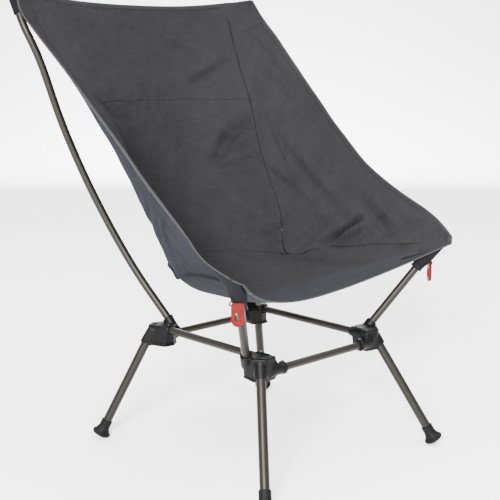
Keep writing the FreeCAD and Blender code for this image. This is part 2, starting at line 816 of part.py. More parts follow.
# ---------------------------------------------------------------- check and write
doc.recompute()
for obj in doc.Objects:
    faults = [state for state in obj.State if state in ("Invalid", "Error")]
    if faults:
        raise RuntimeError(f"{obj.Label}: {faults}")
for piece in nodes:
    shape = piece.Shape
    if shape.isNull() or not shape.isValid() or not shape.Solids:
        raise RuntimeError(f"{piece.Label}: bad shape")
    shape.exportStep(f"parts/{piece.Label}.step")
    box = shape.BoundBox
    print(
        f"{piece.Label:24s} solids {len(shape.Solids)} volume {shape.Volume / 1000:9.3f} cm3 "
        f"x {box.XMin:7.1f} {box.XMax:7.1f} y {box.YMin:7.1f} {box.YMax:7.1f} z {box.ZMin:7.1f} {box.ZMax:7.1f}"
    )
print(len(nodes), "nodes")
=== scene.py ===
"""Looks of the ultralight backpacking chair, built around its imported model.

Metres, in the row's frame: Z up, the sitter faces -Y, the sitter's left is +X.
"""

import json
import math

import bpy
import numpy as np
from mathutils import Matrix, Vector, noise


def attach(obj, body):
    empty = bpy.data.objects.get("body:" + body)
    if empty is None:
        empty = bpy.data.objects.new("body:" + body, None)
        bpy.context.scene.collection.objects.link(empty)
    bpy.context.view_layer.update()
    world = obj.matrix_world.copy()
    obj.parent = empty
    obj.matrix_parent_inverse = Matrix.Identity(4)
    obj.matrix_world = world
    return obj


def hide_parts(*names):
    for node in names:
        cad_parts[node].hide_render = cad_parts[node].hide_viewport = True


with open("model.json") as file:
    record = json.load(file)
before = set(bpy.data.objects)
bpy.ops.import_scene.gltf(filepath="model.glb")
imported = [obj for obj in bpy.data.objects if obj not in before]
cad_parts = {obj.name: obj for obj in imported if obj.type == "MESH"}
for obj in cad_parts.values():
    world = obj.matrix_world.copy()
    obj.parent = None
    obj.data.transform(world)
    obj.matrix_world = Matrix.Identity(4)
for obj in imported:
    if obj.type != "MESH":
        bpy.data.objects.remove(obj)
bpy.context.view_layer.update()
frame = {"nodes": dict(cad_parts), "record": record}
MM = 0.001
SIDES = (("left", 1), ("right", -1))


# ---------------------------------------------------------------- camera
CAMERA_PLACE = (-1.19906, -1.30822, 0.66652)
CAMERA_TILT_DOWN = 9.78
CAMERA_HEADING = -43.33
camera_data = bpy.data.cameras.new("camera")
camera_data.lens = 71.65
camera_data.sensor_width = 36
camera_data.shift_y = -0.0219
camera = bpy.data.objects.new("camera", camera_data)
camera.location = CAMERA_PLACE
camera.rotation_euler = (math.radians(90 - CAMERA_TILT_DOWN), 0, math.radians(CAMERA_HEADING))
bpy.context.scene.collection.objects.link(camera)
bpy.context.scene.camera = camera


# ---------------------------------------------------------------- shader building
class Graph:
    """Short way to write a node material."""

    def __init__(self, name):
        self.material = bpy.data.materials.new(name)
        self.material.use_nodes = True
        self.tree = self.material.node_tree
        self.tree.nodes.clear()

    def node(self, kind, inputs=None, **props):
        made = self.tree.nodes.new("ShaderNode" + kind)
        for key, value in props.items():
            setattr(made, key, value)
        for key, value in (inputs or {}).items():
            if isinstance(value, bpy.types.NodeSocket):
                self.tree.links.new(value, made.inputs[key])
            else:
                made.inputs[key].default_value = value
        return made

    def math(self, operation, first, second=0.0, third=0.0):
        return self.node("Math", {0: first, 1: second, 2: third}, operation=operation).outputs[0]

    def times(self, first, second):
        return self.math("MULTIPLY", first, second)

    def plus(self, first, second):
        return self.math("ADD", first, second)

    def wave(self, value, rate):
        """Sine of value; rate is in radians per metre."""
        return self.math("SINE", self.times(value, rate))

    def apart(self, value, mark):
        """Distance of value from mark."""
        return self.math("ABSOLUTE", self.math("SUBTRACT", value, mark))

    def scaled(self, vector, scale):
        return self.node("VectorMath", {0: vector, 1: scale}, operation="MULTIPLY").outputs[0]

    def noise(self, vector, scale, detail=2.0, rough=0.5):
        inputs = {"Vector": vector, "Scale": scale, "Detail": detail, "Roughness": rough}
        return self.node("TexNoise", inputs).outputs["Fac"]

    def spread(self, value, low, high, start=0.0, end=1.0):
        """Map low..high to start..end, clamped."""
        return self.node(
            "MapRange", {"Value": value, 1: low, 2: high, 3: start, 4: end}, clamp=True
        ).outputs[0]

    def mix(self, share, first, second, blend="MIX"):
        made = self.node("Mix", {0: share, 6: first, 7: second}, data_type="RGBA", blend_type=blend)
        return made.outputs[2]

    def shade(self, colour, amount):
        """Colour with its brightness multiplied by amount."""
        colour = colour[:3] if isinstance(colour, tuple) else colour
        return self.node("VectorMath", {0: colour, 3: amount}, operation="SCALE").outputs[0]

    def bump(self, height, distance, strength=1.0, normal=None):
        inputs = {"Height": height, "Distance": distance, "Strength": strength}
        if normal is not None:
            inputs["Normal"] = normal
        return self.node("Bump", inputs).outputs[0]

    def rounded(self, radius):
        """Normal that softens hard edges."""
        return self.node("Bevel", {"Radius": radius}, samples=6).outputs[0]

    def finish(self, **inputs):
        names = {key.replace("_", " "): value for key, value in inputs.items()}
        shader = self.node("BsdfPrincipled", names)
        self.node("OutputMaterial", {"Surface": shader.outputs[0]})
        return self.material


def rgb(red, green, blue):
    return (red, green, blue, 1.0)


def object_coords(graph):
    return graph.node("TexCoord").outputs["Object"]


def stitches(graph, distance, along, row, thread, rate):
    """Dashed line of lock stitches, row metres from a border; thread is half the yarn's width."""
    off = graph.apart(graph.math("ABSOLUTE", distance), row)
    line = graph.spread(off, thread, thread + 0.0005, 1.0, 0.0)
    return graph.times(line, graph.spread(graph.wave(along, rate), -0.5, 0.1))


# Rates are in radians per metre of cloth, rows and threads in metres.
YARN_RATE = 5200
SEAM_STITCH = {"row": 0.0038, "thread": 0.0004, "rate": 2100}
TAPE_STITCH = {"row": 0.0062, "thread": 0.0003, "rate": 2200}
TAPE_RIB_RATE = 6283 / 0.9
CLOTH_THREAD = (0.012, 0.012, 0.013)
TAPE_THREAD = (0.02, 0.02, 0.021)


def cloth_material(name, inside, outside, roughness=0.85, sheen=0.05, slub=0.5):
    """Plain-weave cloth; UVs are metres along the weft and the warp.

    The mesh carries its distance from the nearest seam, the run along it, a band of painted light along the
    seat's front and a share of painted shade.
    """
    graph = Graph(name)
    uv = graph.node("UVMap", uv_map="UVMap").outputs[0]
    run = graph.node("SeparateXYZ", {0: uv})
    seam, along, painted_light_band, dark = (
        graph.node("Attribute", attribute_name=key).outputs["Fac"] for key in ("seam", "along", "painted_light_band", "dark")
    )
    weft = graph.noise(graph.scaled(uv, (90, 1600, 1)), 1.0, 3.0, 0.6)
    warp = graph.noise(graph.scaled(uv, (1600, 90, 1)), 1.0, 3.0, 0.6)
    yarn = graph.plus(weft, warp)
    cloud = graph.noise(graph.scaled(uv, (14, 14, 1)), 1.0, 4.0, 0.55)
    streak_weft = graph.noise(graph.scaled(uv, (28, 520, 1)), 1.0, 3.0, 0.65)
    streak_warp = graph.noise(graph.scaled(uv, (520, 28, 1)), 1.0, 3.0, 0.65)
    streak = graph.plus(graph.times(streak_weft, 1.3), graph.times(streak_warp, 0.7))
    weave = graph.times(graph.wave(run.outputs[0], YARN_RATE), graph.wave(run.outputs[1], YARN_RATE))

    face = graph.mix(graph.node("NewGeometry").outputs["Backfacing"], rgb(*inside), rgb(*outside))
    # Painted light: a lighter colour on a band along the seat's front.
    face = graph.mix(painted_light_band, face, rgb(*PAINTED_LIGHT_COLOUR))
    tone = graph.times(
        graph.spread(yarn, 0.6, 1.4, 1 - 0.22 * slub, 1 + 0.22 * slub),
        graph.spread(cloud, 0.25, 0.75, 0.86, 1.14),
    )
    tone = graph.times(tone, graph.spread(streak, 0.72, 1.28, 1 - 0.46 * slub, 1 + 0.46 * slub))
    # Painted shade: the cloth goes nearly black by the front sleeve's opening.
    tone = graph.times(tone, graph.math("SUBTRACT", 1.0, graph.times(dark, 0.88)))
    tone = graph.times(tone, graph.spread(graph.math("ABSOLUTE", seam), 0.0003, 0.0018, 0.35, 1.0))
    stitch = stitches(graph, seam, along, **SEAM_STITCH)
    colour = graph.mix(graph.times(stitch, 0.5), graph.shade(face, tone), rgb(*CLOTH_THREAD))

    height = graph.plus(graph.times(weave, 0.35), yarn)
    height = graph.plus(height, graph.times(stitch, 1.5))
    normal = graph.bump(height, 0.0004, 0.55)
    crumple = graph.noise(graph.scaled(uv, (30, 30, 1)), 1.0, 6.0, 0.6)
    normal = graph.bump(crumple, 0.006, 0.8, normal)
    return graph.finish(
        Base_Color=colour,
        Roughness=graph.spread(cloud, 0.2, 0.8, roughness - 0.06, roughness + 0.06),
        Sheen_Weight=sheen,
        Sheen_Roughness=0.5,
        Sheen_Tint=rgb(0.12, 0.12, 0.13),
        Specular_IOR_Level=0.06,
        Normal=normal,
    )


def tape_material(name, colour, shaded):
    """Woven binding: ribs across the tape and a row of lock stitches near its inner border.

    The UV's first value is negative on the sitter's face of the tape, which takes the darker colour as
    painted shade.
    """
    graph = Graph(name)
    uv = graph.node("UVMap", uv_map="UVMap").outputs[0]
    parts = graph.node("SeparateXYZ", {0: uv})
    across, along = parts.outputs[0], parts.outputs[1]
    rib = graph.wave(along, TAPE_RIB_RATE)
    slub = graph.noise(graph.scaled(uv, (900, 120, 1)), 1.0, 3.0, 0.6)
    wear = graph.noise(graph.scaled(uv, (60, 25, 1)), 1.0, 4.0, 0.6)
    stitch = stitches(graph, across, along, **TAPE_STITCH)
    tone = graph.times(graph.spread(slub, 0.3, 0.7, 0.85, 1.12), graph.spread(wear, 0.3, 0.7, 0.88, 1.1))
    # Painted shade: the sitter's face of the tape takes the darker colour.
    shown = graph.mix(graph.spread(across, -0.0016, 0.0004), rgb(*shaded), rgb(*colour))
    height = graph.plus(graph.plus(graph.times(rib, 0.5), slub), graph.times(stitch, 1.2))
    return graph.finish(
        Base_Color=graph.mix(graph.times(stitch, 0.5), graph.shade(shown, tone), rgb(*TAPE_THREAD)),
        Roughness=0.6,
        Specular_IOR_Level=0.1,
        Normal=graph.bump(height, 0.0004, 0.8),
    )


def tube_material(name, colour, roughness=0.42, metal=0.45):
    """Anodised drawn tube: faint draw lines, mottled film, rubbed spots."""
    graph = Graph(name)
    coords = object_coords(graph)
    mottle = graph.noise(coords, 60.0, 4.0, 0.6)
    grain = graph.noise(coords, 900.0, 3.0, 0.7)
    rub = graph.spread(graph.noise(coords, 22.0, 6.0, 0.65), 0.62, 0.72)
    lines = graph.noise(graph.scaled(coords, (1800, 1800, 90)), 1.0, 2.0, 0.6)
    scratch = graph.spread(lines, 0.66, 0.7)
    tone = graph.times(graph.spread(mottle, 0.3, 0.7, 0.92, 1.08), graph.spread(grain, 0.3, 0.7, 0.95, 1.05))
    base = graph.shade(rgb(*colour), tone)
    base = graph.mix(graph.times(rub, 0.25), base, rgb(0.03, 0.028, 0.024))
    base = graph.mix(graph.times(scratch, 0.2), base, rgb(0.06, 0.057, 0.05))
    rough = graph.spread(grain, 0.3, 0.7, roughness - 0.03, roughness + 0.05)
    return graph.finish(
        Base_Color=base,
        Metallic=metal,
        Specular_IOR_Level=0.25,
        Roughness=graph.plus(rough, graph.times(rub, 0.06)),
        Normal=graph.bump(grain, 0.0001, 0.35),
    )


def plastic_material(name, colour, roughness, grain_size=900.0, coat=0.0):
    """Moulded plastic or rubber: spark-eroded grain, faint flow marks, dusty scuffs on the edges."""
    graph = Graph(name)
    coords = object_coords(graph)
    grain = graph.noise(coords, grain_size, 4.0, 0.6)
    flow = graph.noise(graph.scaled(coords, (30, 30, 110)), 1.0, 3.0, 0.5)
    soft = graph.rounded(0.0009)
    flat = graph.node("NewGeometry").outputs["Normal"]
    facing = graph.node("VectorMath", {0: soft, 1: flat}, operation="DOT_PRODUCT").outputs["Value"]
    edge = graph.math("SUBTRACT", 1.0, facing)
    patchy = graph.spread(graph.noise(coords, 160.0, 4.0, 0.7), 0.42, 0.68)
    worn = graph.times(graph.spread(edge, 0.01, 0.12), patchy)
    scuffed = tuple(0.95 * c + 0.006 for c in colour)
    base = graph.shade(rgb(*colour), graph.spread(flow, 0.3, 0.7, 0.86, 1.14))
    rough = graph.spread(grain, 0.3, 0.7, roughness - 0.05, roughness + 0.06)
    return graph.finish(
        Base_Color=graph.mix(graph.times(worn, 0.55), base, rgb(*scuffed)),
        Roughness=graph.plus(rough, graph.times(worn, 0.12)),
        Specular_IOR_Level=0.09,
        Coat_Weight=coat,
        Coat_Roughness=0.2,
        Normal=graph.bump(grain, 0.00025, 0.35, soft),
    )


def cord_material(name):
    """Braided sheath with a pale fleck yarn."""
    graph = Graph(name)
    coords = object_coords(graph)
    parts = graph.node("SeparateXYZ", {0: coords})
    lean = graph.plus(parts.outputs[0], parts.outputs[1])
    first = graph.wave(graph.plus(parts.outputs[2], lean), YARN_RATE)
    second = graph.wave(graph.math("SUBTRACT", parts.outputs[2], lean), YARN_RATE)
    braid = graph.math("MAXIMUM", first, second)
    fleck = graph.spread(graph.noise(coords, 1400.0, 1.0), 0.62, 0.66)
    return graph.finish(
        Base_Color=graph.mix(fleck, rgb(0.004, 0.004, 0.0045), rgb(0.03, 0.03, 0.03)),
        Roughness=0.8,
        Specular_IOR_Level=0.1,
        Normal=graph.bump(braid, 0.0003, 0.7),
    )


def steel_material(name):
    """Turned pin with fine tool marks and dull spots."""
    graph = Graph(name)
    coords = object_coords(graph)
    grain = graph.noise(graph.scaled(coords, (2600, 400, 2600)), 1.0, 3.0)
    spots = graph.noise(coords, 500.0, 3.0, 0.6)
    return graph.finish(
        Base_Color=graph.shade(rgb(0.06, 0.06, 0.062), graph.spread(spots, 0.3, 0.7, 0.85, 1.1)),
        Metallic=1.0,
        Roughness=graph.spread(grain, 0.3, 0.7, 0.25, 0.42),
        Normal=graph.bump(grain, 0.0001, 0.3, graph.rounded(0.0004)),
    )


# Colour of the band of painted light along the seat's front.
PAINTED_LIGHT_COLOUR = (0.0112, 0.0110, 0.0136)
CLOTH_INSIDE = (0.0100, 0.0098, 0.0104)
CLOTH_OUTSIDE = (0.0054, 0.0053, 0.0088)
SLEEVE_INSIDE = (0.004, 0.004, 0.0044)
SLEEVE_OUTSIDE = (0.0052, 0.0052, 0.0068)
# The tape's darker second colour is painted shade for its face toward the sitter.
TAPE_OUTSIDE = (0.026, 0.0255, 0.0275)
TAPE_PAINTED_SHADE = (0.009, 0.009, 0.0095)
MATERIALS = {
    "sling_cloth": cloth_material("sling_cloth", CLOTH_INSIDE, CLOTH_OUTSIDE),
    "sleeve_cloth": cloth_material("sleeve_cloth", SLEEVE_INSIDE, SLEEVE_OUTSIDE, 0.9, 0.02, 0.6),
    "edge_binding": tape_material("edge_binding", TAPE_OUTSIDE, TAPE_PAINTED_SHADE),
    "tube_alloy": tube_material("tube_alloy", (0.0102, 0.0089, 0.0066)),
    "ferrule_alloy": tube_material("ferrule_alloy", (0.03, 0.0285, 0.025), 0.36, 0.8),
    "moulded_plastic": plastic_material("moulded_plastic", (0.0016, 0.0016, 0.0018), 0.46),
    "foot_rubber": plastic_material("foot_rubber", (0.0022, 0.0022, 0.0023), 0.62, 500.0),
    "tab_plastic": plastic_material("tab_plastic", (0.07, 0.0008, 0.0003), 0.38, 1200.0, 0.03),
    "tab_rim": plastic_material("tab_rim", (0.115, 0.002, 0.0008), 0.34, 1200.0, 0.03),
    "shock_cord": cord_material("shock_cord"),
    "pin_steel": steel_material("pin_steel"),
}


# ---------------------------------------------------------------- the frame's own pieces
SLOTS = {part["node"]: part["material_slot"] for part in frame["record"]["subparts"]}
SMOOTH_ANGLE = math.radians(32)
for name, obj in frame["nodes"].items():
    obj.data.materials.clear()
    obj.data.materials.append(MATERIALS[SLOTS[name]])
    obj.data.polygons.foreach_set("use_smooth", [True] * len(obj.data.polygons))
    obj.data.set_sharp_from_angle(angle=SMOOTH_ANGLE)


def ride(obj, replaces=(), body="frame"):
    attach(obj, body)
    if replaces:
        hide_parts(*replaces)
    return obj


# ---------------------------------------------------------------- hub mouldings
HUB_FLANGES = ((173 * MM, 177 * MM), (207 * MM, 211 * MM))
FLANGE_SLACK = 0.1 * MM
FLANGE_REACH = 24 * MM
CORNER_KEPT = 0.3
HUB_VOXEL = 1.0 * MM
HUB_SMOOTHING = 22
HUB_SMOOTH_FACTOR = 0.6


def softened(node):
    """Hub with the rounded corners of a real moulding, made from the hard-edged node."""
    source = frame["nodes"][node]
    draft = source.data.copy()
    shape = np.empty(len(draft.vertices) * 3)
    draft.vertices.foreach_get("co", shape)
    shape = shape.reshape(-1, 3)
    in_flange = np.zeros(len(shape), bool)
    for low, high in HUB_FLANGES:
        in_flange |= (shape[:, 2] > low - FLANGE_SLACK) & (shape[:, 2] < high + FLANGE_SLACK)
    middle = shape[in_flange, :2].mean(axis=0)
    reach = np.linalg.norm(shape[:, :2] - middle, axis=1)
    held = np.minimum(reach, FLANGE_REACH + CORNER_KEPT * (reach - FLANGE_REACH))
    share = np.where(in_flange & (reach > FLANGE_REACH), held / np.maximum(reach, MM), 1)
    shape[:, :2] = middle + (shape[:, :2] - middle) * share[:, None]
    draft.vertices.foreach_set("co", shape.ravel())
    obj = bpy.data.objects.new(node + "_moulding", draft)
    bpy.context.scene.collection.objects.link(obj)
    remesh = obj.modifiers.new("remesh", "REMESH")
    remesh.mode = "VOXEL"
    remesh.voxel_size = HUB_VOXEL
    smooth = obj.modifiers.new("smooth", "SMOOTH")
    smooth.factor = HUB_SMOOTH_FACTOR
    smooth.iterations = HUB_SMOOTHING
    mesh = bpy.data.meshes.new_from_object(obj.evaluated_get(bpy.context.evaluated_depsgraph_get()))
    obj.modifiers.clear()
    obj.data = mesh
    mesh.polygons.foreach_set("use_smooth", [True] * len(mesh.polygons))
    mesh.materials.clear()
    mesh.materials.append(MATERIALS[SLOTS[node]])
    return ride(obj, [node])


for end in ("front", "rear"):
    for side, _ in SIDES:
        softened(f"hub_{end}_{side}")


# ---------------------------------------------------------------- the sling's shape
# Outline from the front hem to the top hem, in mm: side edge (x, y, z), seam (x, y, z), centreline (y, z).
SLING = [
    ((266, -280, 369), (250, -290, 360), (0, -180, 281)),
    ((281, -238, 393), (236, -244, 357), (0, -128, 271)),
    ((276, -201, 416), (218, -205, 352), (0, -75, 265)),
    ((267, -155, 441), (200, -155, 347), (0, -20, 263)),
    ((261, -105, 472), (180, -97, 338), (0, 35, 267)),
    ((260, -69, 498), (160, -45, 326), (0, 85, 285)),
    ((261, -33, 530), (136, 4, 315), (0, 120, 318)),
    ((263, 5, 563), (142, 25, 367), (0, 155, 375)),
    ((267, 36, 592), (150, 48, 418), (0, 180, 430)),
    ((272, 80, 632), (155, 85, 478), (0, 200, 487)),
    ((278, 124, 672), (162, 118, 548), (0, 220, 550)),
    ((284, 163, 707), (181, 154, 602), (0, 238, 604)),
    ((289, 200, 740), (199, 198, 655), (0, 260, 660)),
    ((289, 231, 769), (220, 243, 710), (0, 284, 718)),
    ((278, 252, 806), (241, 296, 800), (0, 307.4, 786)),
]
SEAT_END = 6
BACK_SEAM = 11
TOP = len(SLING) - 1
# Stations, and the exponent of the section between the seams there: the higher, the flatter its middle.
FULLNESS = ((0, 3, 6, 9, 14), (1.8, 1.9, 2.6, 3.0, 2.4))
# Push of a wing's middle for each metre of its width.
WING_BULGE = np.array((0.021, 0.017, -0.014))
# A point in the sitter's place, which tells the cloth's two faces apart.
SITTER = np.array((0, -0.06, 0.48))
CLOTH_LIFT = 1.0 * MM


def smooth_line(points):
    """Natural cubic through points at whole-number parameters, in metres."""
    knots = np.array(points, float) * MM
    count = len(knots)
    system, load = np.eye(count), np.zeros((count, 3))
    for i in range(1, count - 1):
        system[i, i - 1 : i + 2] = (1, 4, 1)
        load[i] = 6 * (knots[i + 1] - 2 * knots[i] + knots[i - 1])
    bend = np.linalg.solve(system, load)

    def value(t):
        t = np.clip(np.asarray(t, float), 0, count - 1)
        i = np.minimum(t.astype(int), count - 2)
        after = (t - i)[..., None]
        before = 1 - after
        curve = (before**3 - before) * bend[i] + (after**3 - after) * bend[i + 1]
        return before * knots[i] + after * knots[i + 1] + curve / 6

    return value


edge_line, seam_line, centre_line = (smooth_line(points) for points in zip(*SLING))


def unit(vectors):
    return vectors / np.maximum(np.linalg.norm(vectors, axis=-1, keepdims=True), 1e-12)


def bare(v, s):
    """Smooth sling at station v; s runs from -1 to 1 between the long seams and reaches 2 at a side edge."""
    v, s = np.broadcast_arrays(np.asarray(v, float), np.asarray(s, float))
    reach = np.abs(s)
    centre, seam, edge = centre_line(v), seam_line(v), edge_line(v)
    inner = np.minimum(reach, 1)
    middle = centre + (seam - centre) * (inner ** np.interp(v, *FULLNESS))[..., None]
    middle[..., 0] = seam[..., 0] * inner
    share = np.clip(reach - 1, 0, 1)[..., None]
    width = edge - seam
    belly = 4 * share * (1 - share) * np.linalg.norm(width, axis=-1, keepdims=True)
    point = np.where(reach[..., None] > 1, seam + width * share + WING_BULGE * belly, middle)
    point[..., 0] = point[..., 0] * np.sign(s)
    return point


def outward(v, s):
    """Unit normal of the smooth sling, away from the sitter."""
    step_v, step_s = 0.04, 0.015
    along = bare(np.minimum(v + step_v, TOP), s) - bare(np.maximum(v - step_v, 0), s)
    across = bare(v, np.minimum(s + step_s, 2)) - bare(v, np.maximum(s - step_s, -2))
    normal = unit(np.cross(across, along))
    facing = np.sum(normal * (bare(v, s) - SITTER), axis=-1, keepdims=True)
    return normal * np.where(facing < 0, -1, 1)


# Folds: start (station, s), end (station, s), width mm, depth mm; positive pushes away from the sitter.
FOLDS = (
    ((11.5, 0.5), (12.5, 0.93), 9, 4.0),
    ((12.92, 0.43), (12.5, 0.73), 8, 3.0),
    ((13.58, 0.6), (13.92, 0.88), 8, 2.5),
    ((8.92, 0.62), (10.17, 0.85), 11, 4.0),
    ((9.42, 0.7), (10.42, 0.98), 9, 3.5),
    ((12.42, 0.1), (11.25, 0.73), 16, 2.0),
    ((13.83, 1.05), (11.08, 1.78), 7, 3.0),
    ((13.67, 1.53), (9.33, 1.9), 9, -4.0),
    ((12.0, 1.33), (9.42, 1.68), 9, 2.5),
    ((9.83, 1.25), (7.83, 1.45), 10, 2.5),
    ((10.25, 1.18), (5.67, 1.6), 9, -3.0),
    ((8.58, 1.35), (4.0, 1.25), 12, 3.0),
    ((4.67, 1.03), (3.83, 1.38), 9, 5.0),
    ((5.67, 1.1), (5.08, 1.38), 10, 4.0),
    ((4.0, 1.08), (3.5, 1.48), 9, -4.0),
    ((3.17, 1.12), (1.5, 1.7), 10, 3.0),
    ((3.83, 1.43), (1.42, 1.95), 12, -3.0),
    ((5.25, 0.5), (4.0, 0.85), 10, 4.0),
    ((6.5, 0.88), (6.92, 1.0), 9, 3.0),
    ((9.08, -0.25), (7.17, 0.18), 22, 2.5),
    ((4.08, 0.75), (2.5, 0.75), 10, 3.0),
    ((2.92, 0.83), (1.25, 0.93), 9, 2.5),
    ((3.83, 0.27), (2.25, 0.6), 9, 2.0),
    ((4.6, 1.04), (3.8, 1.42), 6, 6.0),
    ((4.3, 1.05), (3.45, 1.33), 7, -4.5),
    ((4.95, 1.05), (4.2, 1.25), 6, 3.5),
    ((3.75, 1.72), (2.1, 1.3), 8, -3.0),
    ((4.08, 1.6), (2.42, 1.12), 8, 3.0),
    ((3.58, 0.8), (4.5, 0.5), 8, 3.0),
    ((2.5, 0.75), (1.83, 0.93), 8, -2.5),
    ((8.9, 0.62), (10.33, 0.97), 7, 3.5),
    ((8.83, 0.62), (9.42, 0.98), 7, -2.5),
    ((9.6, 0.76), (9.95, 0.98), 5, 2.5),
    ((11.6, 1.18), (7.2, 1.35), 7, 2.5),
    ((9.1, 1.04), (7.4, 1.3), 7, -3.0),
    ((8.6, 1.15), (5.8, 1.48), 8, -2.0),
    ((5.2, -1.3), (4.3, -1.7), 8, 1.5),
    ((6.8, -1.2), (5.2, -1.7), 8, -1.5),
    ((8.4, -0.7), (9.6, -0.97), 8, 3.0),
    ((10.4, -0.65), (11.3, -0.95), 8, 2.5),
)
FOLD_STRENGTH = 2.3
CREASE = 1.25
RIDGE_SHARE = 0.35
RIDGE_OFF = 1.7
SLACK_DEPTH = 2.6 * MM
SLACK_WIDE = 9.0
SLACK_FINE = 23.0
# The folds and the slack die out toward the hems, in stations, and toward the side edges, in s.
HELD_STATIONS = 1.2
HELD_EDGE = 0.35


def fold_push(points):
    """Outward push of every fold at the given points."""
    push = np.zeros(points.shape[:-1])
    for start, end, width, depth in FOLDS:
        a, b = bare(*start), bare(*end)
        run = b - a
        t = np.clip(np.sum((points - a) * run, axis=-1) / run.dot(run), 0, 1)
        off = np.linalg.norm(points - a - t[..., None] * run, axis=-1) / (width * MM)
        fade = np.sin(np.pi * np.clip(t * 0.9 + 0.05, 0, 1)) ** 0.7
        profile = np.exp(-np.abs(off) ** CREASE) - RIDGE_SHARE * np.exp(-((off - RIDGE_OFF) ** 2))
        push += FOLD_STRENGTH * depth * MM * fade * profile
    return push


def sling(v, s, lift=CLOTH_LIFT):
    """Sling surface with its folds and slack, lifted outward."""
    v, s = np.broadcast_arrays(np.asarray(v, float), np.asarray(s, float))
    point = bare(v, s)
    push = fold_push(point)
    flat = point.reshape(-1, 3)
    slack = np.array(
        [noise.noise(Vector(p) * SLACK_WIDE) + 0.5 * noise.noise(Vector(p) * SLACK_FINE) for p in flat]
    )
    held = np.minimum(np.minimum(v, TOP - v) / HELD_STATIONS, (2 - np.abs(s)) / HELD_EDGE)
    push = push + slack.reshape(push.shape) * SLACK_DEPTH
    push = push * np.clip(held, 0, 1)
    return point + outward(v, s) * (push + lift)[..., None]


# ---------------------------------------------------------------- mesh helpers
def mesh_object(name, points, faces, material, uvs=None, attributes=None):
    """Smooth-shaded object; attributes are numbers per vertex that its material reads."""
    mesh = bpy.data.meshes.new(name)
    mesh.from_pydata([tuple(p) for p in points], [], faces)
    mesh.polygons.foreach_set("use_smooth", [True] * len(mesh.polygons))
    if uvs is not None:
        layer = mesh.uv_layers.new(name="UVMap")
        corners = np.zeros(len(mesh.loops), int)
        mesh.loops.foreach_get("vertex_index", corners)
        layer.data.foreach_set("uv", np.asarray(uvs, np.float32)[corners].ravel())
    for key, values in (attributes or {}).items():
        layer = mesh.attributes.new(key, "FLOAT", "POINT")
        layer.data.foreach_set("value", np.asarray(values, np.float32).ravel())
    mesh.materials.append(material)
    obj = bpy.data.objects.new(name, mesh)
    bpy.context.scene.collection.objects.link(obj)
    return obj


def grid_faces(rows, columns, around=False):
    """Quads of a grid; around joins its last column to its first."""
    faces = []
    for i in range(rows - 1):
        for j in range(columns if around else columns - 1):
            k = (j + 1) % columns
            faces.append((i * columns + j, i * columns + k, (i + 1) * columns + k, (i + 1) * columns + j))
    return faces


def lengths(points, axis):
    """Running length of a grid along one axis."""
    steps = np.linalg.norm(np.diff(points, axis=axis), axis=-1)
    pad = [(0, 0), (0, 0)]
    pad[axis] = (1, 0)
    return np.pad(np.cumsum(steps, axis=axis), pad)


def grid_uvs(points):
    """Metres across the grid, from its middle column, and along it."""
    across = lengths(points, 1)
    across = across - across[:, across.shape[1] // 2, None]
    along = np.repeat(lengths(points, 0)[:, points.shape[1] // 2, None], points.shape[1], axis=1)
    return np.stack([across, along], axis=-1).reshape(-1, 2)


# ---------------------------------------------------------------- sling panels
SEAM_OFFSETS = np.array((0.0, 0.5, 1.0, 1.6, 2.4, 3.2, 3.8, 4.4, 5.5, 8.0)) * MM


def clustered(low, high, count, near_low, near_high):
    """Parameters from low to high, with close rows by the seams; near_low and near_high are parameters per
    metre there, or None where that border has no seam.
    """
    values = list(np.linspace(low, high, count))
    if near_low is not None:
        values += list(low + SEAM_OFFSETS * near_low)
    if near_high is not None:
        values += list(high - SEAM_OFFSETS * near_high)
    values = sorted(values)
    kept = [values[0]]
    smallest = (high - low) * 1e-5
    for value in values[1:]:
        if value - kept[-1] > smallest:
            kept.append(value)
    return np.array(kept)


# A seam pulls the cloth into a groove; the long left seam is tucked deeper where the seat turns up.
SIDE_GROOVE = 1.5 * MM
CROSS_GROOVE = 0.45 * MM
GROOVE_WIDTH = 1.3 * MM
LOW_TUCK = 1.6
LOW_TUCK_STATION = 4.8
LOW_TUCK_SPAN = 2.2
# Puckers beside a seam: (noise scale, reach in metres, depth in mm).
FINE_GATHER = (130, 0.009, 2.4)
WIDE_GATHER = (42, 0.026, 3.2)
RIGHT_GATHER = 0.4
CROSS_GATHER = 0.5
GATHER_START = 1.5 * MM
# Distance counted to a cross seam's fold, which leaves the fold paler than a long seam's.
CROSS_FOLD = 0.8 * MM
# The hidden strip of a cut that runs on behind its neighbour.
LAP = 2.4 * MM
LAP_BEHIND = 1.1 * MM
# Height of the band of painted light at the middle of the seat's front, in stations.
PAINTED_LIGHT_HEIGHT = 2.6
PAINTED_LIGHT_FADE = 0.12


def gathers(seam_points, distance):
    """Puckers that run square to a seam; both cuts of cloth share them."""
    flat = seam_points.reshape(-1, 3)
    total = np.zeros(distance.shape)
    for scale, reach, depth in (FINE_GATHER, WIDE_GATHER):
        swell = np.array([noise.noise(Vector(p) * scale) for p in flat]).reshape(distance.shape)
        total += swell * np.exp(-distance / reach) * depth
    start = 1 - np.exp(-((distance / GATHER_START) ** 2))
    return start * total * MM


def lapped(points, normals, rows_first):
    """The grid with its first or last row carried on behind the neighbouring cut."""
    edge, inner = (points[0], points[3]) if rows_first else (points[-1], points[-4])
    side = normals[0] if rows_first else normals[-1]
    extra = (edge + unit(edge - inner) * LAP + side * LAP_BEHIND)[None]
    return np.concatenate([extra, points] if rows_first else [points, extra])


